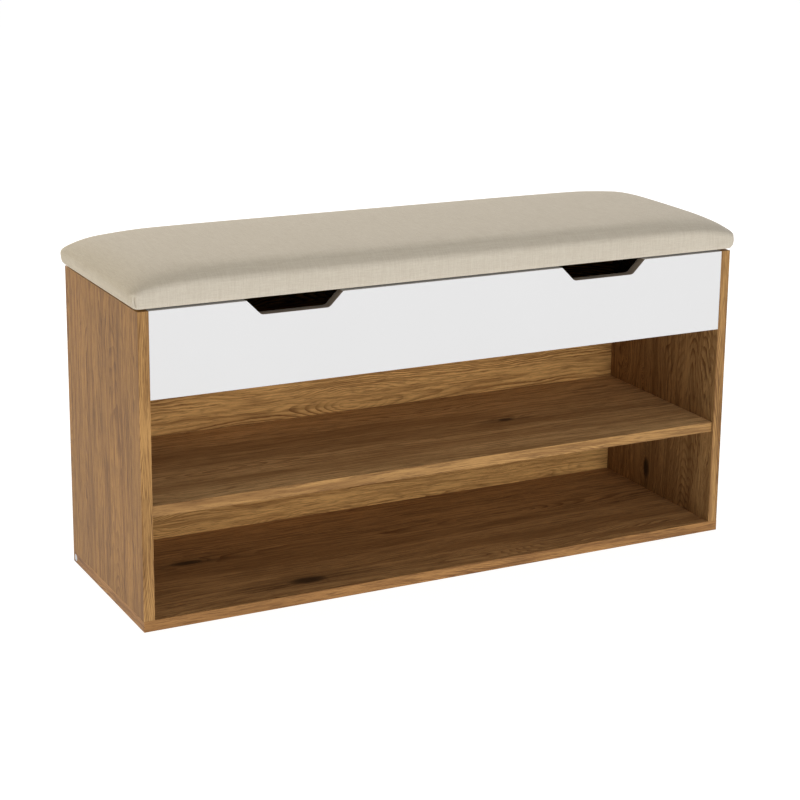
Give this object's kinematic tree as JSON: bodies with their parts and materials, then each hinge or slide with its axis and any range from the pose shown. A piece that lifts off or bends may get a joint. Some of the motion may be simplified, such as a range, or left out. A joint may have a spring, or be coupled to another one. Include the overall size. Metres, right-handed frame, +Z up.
{
  "type": "storage bench",
  "caption": "Low entryway storage bench: open shoe bays, a front panel with finger notches, and a padded seat hinged as the lid of a storage compartment.",
  "frame": {"origin": "middle of the carcass on the floor", "axes": "+X along the bench to the right seen from the front, +Y to the rear, +Z up"},
  "size_m": [0.908, 0.2977, 0.479],
  "materials": {
    "oak_outside": "matt oak-grain decor",
    "oak_inside": "matt oak-grain decor",
    "oak_edge": "matt oak-grain edge band",
    "white_board": "satin white decor on board",
    "plywood": "raw plywood",
    "beech": "raw beech",
    "linen": "linen-look plain weave",
    "foam": "upholstery foam",
    "lining": "non-woven dust lining",
    "zinc": "zinc plated",
    "rubber": "soft bumper"
  },
  "bodies": {
    "carcass": {"bottom_panel": "oak_inside", "bottom_edge_bands": "oak_edge", "left_side_panel": "oak_outside", "right_side_panel": "oak_outside", "left_side_bands": "oak_edge", "right_side_bands": "oak_edge", "middle_shelf": "oak_inside", "shelf_front_band": "oak_edge", "shelf_pins": "zinc", "compartment_floor": "oak_inside", "front_panel": "white_board", "rear_rail": "oak_inside", "back_panel": "oak_inside", "cam_locks": "zinc", "cam_bolts": "zinc", "dowels": "beech", "bottom_screws": "zinc", "end_plugs": "zinc", "left_hinge_body_leaf": "zinc", "left_hinge_pin": "zinc", "right_hinge_body_leaf": "zinc", "right_hinge_pin": "zinc", "hinge_body_screws": "zinc", "left_stay_side_bracket": "zinc", "left_stay_side_rivet": "zinc", "right_stay_side_bracket": "zinc", "right_stay_side_rivet": "zinc", "stay_side_screws": "zinc"},
    "lid": {"left_hinge_lid_leaf": "zinc", "right_hinge_lid_leaf": "zinc", "hinge_lid_screws": "zinc", "lid_board": "plywood", "seat_foam": "foam", "seat_cover": "linen", "lid_lining": "lining", "lid_staples": "zinc", "lid_bumpers": "rubber", "left_stay_lid_bracket": "zinc", "left_stay_lid_rivet": "zinc", "right_stay_lid_bracket": "zinc", "right_stay_lid_rivet": "zinc", "stay_lid_screws": "zinc"},
    "left_stay_lower": {"left_stay_lower_arm": "zinc", "left_stay_elbow_rivet": "zinc"},
    "left_stay_upper": {"left_stay_upper_arm": "zinc"},
    "right_stay_lower": {"right_stay_lower_arm": "zinc", "right_stay_elbow_rivet": "zinc"},
    "right_stay_upper": {"right_stay_upper_arm": "zinc"}
  },
  "joints": [
    {"name": "lid_hinge", "type": "hinge", "parent": "carcass", "child": "lid", "pos_m": [0, 0.148, 0.4283], "axis": [-1, 0, 0], "range_deg": [0, 95]},
    {"name": "left_stay_lower_pivot", "type": "hinge", "parent": "carcass", "child": "left_stay_lower", "pos_m": [-0.43245, 0.118, 0.3583], "axis": [-1, 0, 0], "range_deg": [0, 95]},
    {"name": "left_stay_upper_pivot", "type": "hinge", "parent": "lid", "child": "left_stay_upper", "pos_m": [-0.43065, 0.038, 0.421], "axis": [1, 0, 0], "range_deg": [0, 95]},
    {"name": "right_stay_lower_pivot", "type": "hinge", "parent": "carcass", "child": "right_stay_lower", "pos_m": [0.43245, 0.118, 0.3583], "axis": [-1, 0, 0], "range_deg": [0, 95]},
    {"name": "right_stay_upper_pivot", "type": "hinge", "parent": "lid", "child": "right_stay_upper", "pos_m": [0.43065, 0.038, 0.421], "axis": [1, 0, 0], "range_deg": [0, 95]}
  ],
  "couplings": [
    {"joint": "left_stay_lower_pivot", "follows": "lid_hinge", "ratio": 1},
    {"joint": "left_stay_upper_pivot", "follows": "lid_hinge", "ratio": 1},
    {"joint": "right_stay_lower_pivot", "follows": "lid_hinge", "ratio": 1},
    {"joint": "right_stay_upper_pivot", "follows": "lid_hinge", "ratio": 1}
  ]
}
